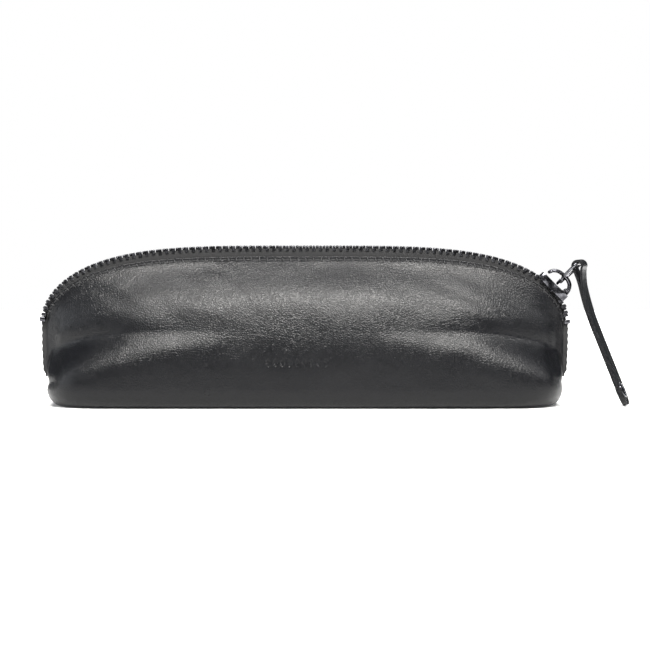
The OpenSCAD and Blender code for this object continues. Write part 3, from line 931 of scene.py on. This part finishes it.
def link_path():
    """Corners of the stirrup as (along, across), each with the radius of its bend."""
    half = [(LINK_LEN, 0, 0), (LINK_LEN, LINK_HALF_OUT, 1.1), (LINK_LEN * 0.42, LINK_HALF_OUT - 0.1, 2.4),
            (LINK_LEN * 0.16, LINK_HALF_IN, 1.6), (0, LINK_HALF_IN, 1.0), (0, 0, 0)]
    whole = half + [(a, -w, r) for a, w, r in reversed(half[1:-1])]
    points = []
    for before, here, after in zip(whole[-1:] + whole, whole, whole[1:] + whole[:1]):
        p, a, b = (Vector(item[:2]) for item in (here, before, after))
        if not here[2]:
            points.append(p)
            continue
        start, end = p + (a - p).normalized() * here[2], p + (b - p).normalized() * here[2]
        for t in (0, 0.2, 0.4, 0.6, 0.8, 1):
            points.append(start.lerp(p, t).lerp(p.lerp(end, t), t))
    return [link_at + link_ahead * p.x + bar_axis * p.y for p in points]


def link_wire():
    path = link_path()
    flat = link_ahead.cross(bar_axis).normalized()
    rings = [station(p, b - a, flat, LINK_R, LINK_R)
             for a, p, b in zip(path[-1:] + path, path, path[1:] + path[:1])]
    return sweep(rings, 16, closed=True)


finish_piece("stirrup_link", link_wire(), black_nickel, ["pull_link"], body="link")

# %% [markdown]
# ## The strap
# The pull is one strip of leather folded over the link's bar, its two layers glued together below the
# loop. So it is built as it is made: one long grid is laid along the path of the fold, rounded at its two
# tips, punched for the eyelet and then given its thickness.

# %% Strap
STRAP_HALF = 4.0
STRAP_T = 0.95
LOOP_IN = 1.45
TILT_TOP, TILT_END = 8.0, 22.5
BEND_LENGTH = 25.0
EYELET_FROM_TIP = 6.2
EYELET_HOLE = 2.1
loop_centre = Vector((0.2, -0.82))
strap_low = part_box("pull_strap")[0] / MM
bend_radius = BEND_LENGTH / math.radians(TILT_END - TILT_TOP)


def down(tilt):
    return Vector((math.sin(math.radians(tilt)), -math.cos(math.radians(tilt))))


def off(tilt):
    """Out of the strap's face, away from the case."""
    return Vector((math.cos(math.radians(tilt)), math.sin(math.radians(tilt))))


def bend_point(tilt):
    return loop_centre + bend_radius * (off(TILT_TOP) - off(tilt)).xy


bend_end = bend_point(TILT_END)
tip_drop = bar_at.z + bend_end.y - strap_low.z - STRAP_T * math.sin(math.radians(TILT_END))
strap_straight = tip_drop / math.cos(math.radians(TILT_END))
strap_tip = bend_end + down(TILT_END) * strap_straight


def strap_layer(side):
    """Outer face of one layer, from its tip up towards the loop."""
    half = side * (STRAP_T - 0.01)
    line = [strap_tip + (bend_end - strap_tip) * i / 24 + off(TILT_END) * half for i in range(24)]
    line += [bend_point(mix(TILT_END, 11.5, i / 14)) + off(mix(TILT_END, 11.5, i / 14)) * half
             for i in range(15)]
    return line


def strap_line():
    """The whole fold, from the tip of the inner layer over the loop to the tip of the outer one."""
    radius = LOOP_IN + STRAP_T - 0.02
    loop = [loop_centre + radius * Vector((math.sin(math.radians(a)), math.cos(math.radians(a))))
            for a in range(-128, 129, 8)]
    line = strap_layer(-1) + loop + strap_layer(1)[::-1]
    for _ in range(2):
        inner = [a * 0.25 + b * 0.5 + c * 0.25 for a, b, c in zip(line, line[1:], line[2:])]
        line = line[:1] + inner + line[-1:]
    return line


fold = strap_line()
fold_lengths = np.cumsum([0] + [(b - a).length for a, b in zip(fold, fold[1:])])
fold_total = float(fold_lengths[-1])
print("strap", round(fold_total / 2, 1), "mm long, folded")


def on_fold(s):
    return Vector((np.interp(s, fold_lengths, [p.x for p in fold]),
                   np.interp(s, fold_lengths, [p.y for p in fold])))


def in_pull(x, across, z):
    """From the strap's own plane, with its origin on the bar, into the case's frame."""
    sideways = bar_axis.cross(Vector((0, 0, 1)))
    return bar_at + sideways * x + bar_axis * across + Vector((0, 0, z))


# %% The strip: round tips, punched hole, fold, thickness
def tip_grid():
    """A flat strip along X with two round tips. The rows crowd together towards the tips."""
    bm = bmesh.new()
    bmesh.ops.create_grid(bm, x_segments=360, y_segments=20, size=1)
    for vert in bm.verts:
        u, v = vert.co.x, vert.co.y
        near = min((1 - abs(u)) / 0.09, 1)
        swing = near * math.pi / 2
        to_tip = STRAP_HALF * (1 - math.cos(swing))
        to_tip += max((1 - abs(u)) - 0.09, 0) / 0.91 * (fold_total / 2 - STRAP_HALF)
        width = STRAP_HALF * max(math.sin(swing), 0.01)
        vert.co = Vector((math.copysign(fold_total / 2 - to_tip, u), v * width, 0))
    return bm


def punch(bm, radius):
    """Removes the faces inside both eyelet holes and rounds what is left to the hole's own circle."""
    for sign in (-1, 1):
        centre = Vector((sign * (fold_total / 2 - EYELET_FROM_TIP), 0, 0))
        inner = [vert for vert in bm.verts if (vert.co - centre).length < radius - 0.05]
        bmesh.ops.delete(bm, geom=inner, context="VERTS")
        for vert in bm.verts:
            away = vert.co - centre
            if vert.is_boundary and away.length < radius + 0.6:
                vert.co = centre + away.normalized() * radius


def folded_strap():
    bm = tip_grid()
    punch(bm, EYELET_HOLE + 0.48)
    for vert in bm.verts:
        p = on_fold(vert.co.x + fold_total / 2)
        vert.co = in_pull(p.x, vert.co.y, p.y)
    bm.normal_update()
    bmesh.ops.solidify(bm, geom=bm.faces, thickness=STRAP_T - 0.03)
    face_outwards(bm)
    rim = [edge for edge in bm.edges if edge.is_manifold and edge.calc_face_angle() > 1.2]
    bmesh.ops.bevel(bm, geom=rim, offset=0.2, segments=2, profile=0.5, affect="EDGES", material=-1,
                    clamp_overlap=True)
    return bm


finish_piece("folded_strap", folded_strap(), strap_leather, ["pull_strap"],
             body="strap", sharp=70)

# %% [markdown]
# ## The eyelet
# An eyelet is a short tube with a flange, set through both layers and rolled over a washer behind. Both
# parts are turned shapes, so each is one profile spun round the hole's axis.

# %% Eyelet and washer
def spun(profile, steps=64):
    """Spins a closed profile of (radius, height) pairs round Z."""
    bm = bmesh.new()
    verts = [bm.verts.new((r, 0, z)) for r, z in profile]
    edges = [bm.edges.new((a, b)) for a, b in zip(verts, verts[1:] + verts[:1])]
    bmesh.ops.spin(bm, geom=verts + edges, cent=(0, 0, 0), axis=(0, 0, 1), angle=2 * math.pi,
                   steps=steps, use_merge=True)
    bmesh.ops.remove_doubles(bm, verts=bm.verts, dist=1e-4)
    face_outwards(bm)
    return bm


def arc(cx, cz, rx, rz, first, last, steps):
    """Points of an ellipse's arc, in degrees, as (radius, height) pairs."""
    turns = [math.radians(mix(first, last, i / steps)) for i in range(steps + 1)]
    return [(cx + rx * math.cos(t), cz + rz * math.sin(t)) for t in turns]


eyelet_centre = strap_tip - down(TILT_END) * EYELET_FROM_TIP
hole_x = in_pull(*(down(TILT_END).x, 0, down(TILT_END).y)) - bar_at
hole_z = in_pull(*(off(TILT_END).x, 0, off(TILT_END).y)) - bar_at
at_eyelet = placed(hole_x, hole_z.cross(hole_x), hole_z, in_pull(eyelet_centre.x, 0, eyelet_centre.y))
RIM = 3.2
face = STRAP_T + 0.02

eyelet_profile = ([(2.55, face)] + arc(2.62, face, RIM - 2.62, 0.33, 0, 90, 6)
                  + arc(2.62, face, 0.52, 0.33, 90, 180, 5)[1:] + [(2.1, -face - 0.1)]
                  + arc(2.36, -face - 0.1, 0.26, 0.25, 180, 270, 4)[1:] + [(2.55, -face - 0.28)])
eyelet = spun(eyelet_profile)
eyelet.transform(at_eyelet)
finish_piece("eyelet_ring", eyelet, black_nickel, ["strap_eyelet"], body="strap", sharp=50)

washer = spun([(2.62, -face)] + [(2.62, -face - 0.3)]
              + arc(RIM - 0.2, -face - 0.13, 0.2, 0.19, -90, 0, 4) + [(RIM, -face)])
washer.transform(at_eyelet)
finish_piece("eyelet_back_washer", washer, black_nickel, ["eyelet_washer"], body="strap",
             sharp=50)

# %% [markdown]
# ## The base board
# A stiff fibre board keeps the foot of the case flat. It is a plain cut board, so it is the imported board
# with its sharp edges broken.

# %% Base board
finish_piece("bottom_board", rounded_copy("base_board", 0.4), fibre_board, ["base_board"],
             body="case", sharp=35)

# %% [markdown]
# ## Floor, light and camera
# The case stands on a plain white floor, which glows a little more with distance so that it stays white.
# One wide soft box hangs in front and above and gives the long highlight on the shoulder of the wall. One
# behind and a narrow one overhead light the zip, and a small one at each side lights the ends.
# The world is white to the camera and dim to everything else, so the black leather keeps its depth.

# %% Floor
def plain_floor(half):
    bm = bmesh.new()
    bmesh.ops.create_grid(bm, x_segments=1, y_segments=1, size=half)
    mesh = bpy.data.meshes.new("floor")
    bm.to_mesh(mesh)
    bm.free()
    floor = bpy.data.objects.new("floor", mesh)
    bpy.context.scene.collection.objects.link(floor)
    material = bpy.data.materials.new("white_floor")
    material.use_nodes = True
    shader = material.node_tree.nodes["Principled BSDF"]
    shader.inputs["Base Color"].default_value = (0.75, 0.75, 0.75, 1)
    shader.inputs["Roughness"].default_value = 0.9
    shader.inputs["Specular IOR Level"].default_value = 0.1
    shader.inputs["Emission Color"].default_value = (1, 1, 1, 1)
    tree = material.node_tree
    far = add(tree, "ShaderNodeVectorMath", [(place(tree), 0)], operation="LENGTH")
    glow = add(tree, "ShaderNodeMapRange", [(far.outputs["Value"], "Value")])
    for socket, value in (("From Min", 0.12), ("From Max", 0.4), ("To Min", 0.15), ("To Max", 1.0)):
        glow.inputs[socket].default_value = value
    tree.links.new(glow.outputs[0], shader.inputs["Emission Strength"])
    mesh.materials.append(material)
    return floor


plain_floor(0.8)


# %% Soft boxes
def soft_box(name, at, aim, width, height, power, tint=(1, 1, 1)):
    lamp = bpy.data.lights.new(name, "AREA")
    lamp.shape = "RECTANGLE"
    lamp.size, lamp.size_y = width, height
    lamp.energy = power
    lamp.color = tint
    holder = bpy.data.objects.new(name, lamp)
    holder.location = at
    holder.rotation_euler = (Vector(aim) - Vector(at)).to_track_quat("-Z", "Y").to_euler()
    bpy.context.scene.collection.objects.link(holder)


def from_case(azimuth, elevation, distance):
    """A place seen from the case: azimuth 0 is in front, elevation is above the floor."""
    a, e = math.radians(azimuth), math.radians(elevation)
    return (distance * math.sin(a) * math.cos(e), -distance * math.cos(a) * math.cos(e),
            0.03 + distance * math.sin(e))


soft_box("front_box", from_case(4, 56, 0.9), (0.01, 0, 0.03), 0.8, 0.13, 26, (1, 0.985, 0.95))
soft_box("back_box", from_case(180, 52, 1.1), (0, 0, 0.03), 1.2, 0.3, 12)
soft_box("edge_box", from_case(180, 82, 1.0), (0, 0, 0.03), 0.9, 0.08, 2.5)
soft_box("left_box", from_case(-78, 18, 1.3), (0, 0, 0.03), 0.6, 0.6, 6, (0.94, 0.97, 1))
soft_box("right_box", from_case(75, 35, 1.2), (0.1, 0, 0.03), 0.3, 0.6, 5)

# %% World
world = bpy.data.worlds.new("studio")
bpy.context.scene.world = world
world.use_nodes = True
nodes, links = world.node_tree.nodes, world.node_tree.links
nodes.clear()
seen = nodes.new("ShaderNodeBackground")
seen.inputs["Color"].default_value = (1, 1, 1, 1)
dim = nodes.new("ShaderNodeBackground")
dim.inputs["Color"].default_value = (0.9, 0.95, 1, 1)
dim.inputs["Strength"].default_value = 0.09
path = nodes.new("ShaderNodeLightPath")
both = nodes.new("ShaderNodeMixShader")
out = nodes.new("ShaderNodeOutputWorld")
links.new(path.outputs["Is Camera Ray"], both.inputs[0])
links.new(dim.outputs[0], both.inputs[1])
links.new(seen.outputs[0], both.inputs[2])
links.new(both.outputs[0], out.inputs["Surface"])

# %% Camera
AIM = Vector((0.0078, 0, 0.031))
CAMERA_DISTANCE = 0.845
CAMERA_ELEVATION = math.radians(3)
camera = bpy.data.objects.new("camera", bpy.data.cameras.new("camera"))
camera.data.lens = 120
camera.data.sensor_width = 36
camera.data.clip_start = 0.01
camera.data.dof.use_dof = False
camera.location = AIM + CAMERA_DISTANCE * Vector((0, -math.cos(CAMERA_ELEVATION), math.sin(CAMERA_ELEVATION)))
camera.rotation_euler = (AIM - camera.location).to_track_quat("-Z", "Y").to_euler()
bpy.context.scene.collection.objects.link(camera)
bpy.context.scene.camera = camera
bpy.context.scene.view_settings.view_transform = "Standard"
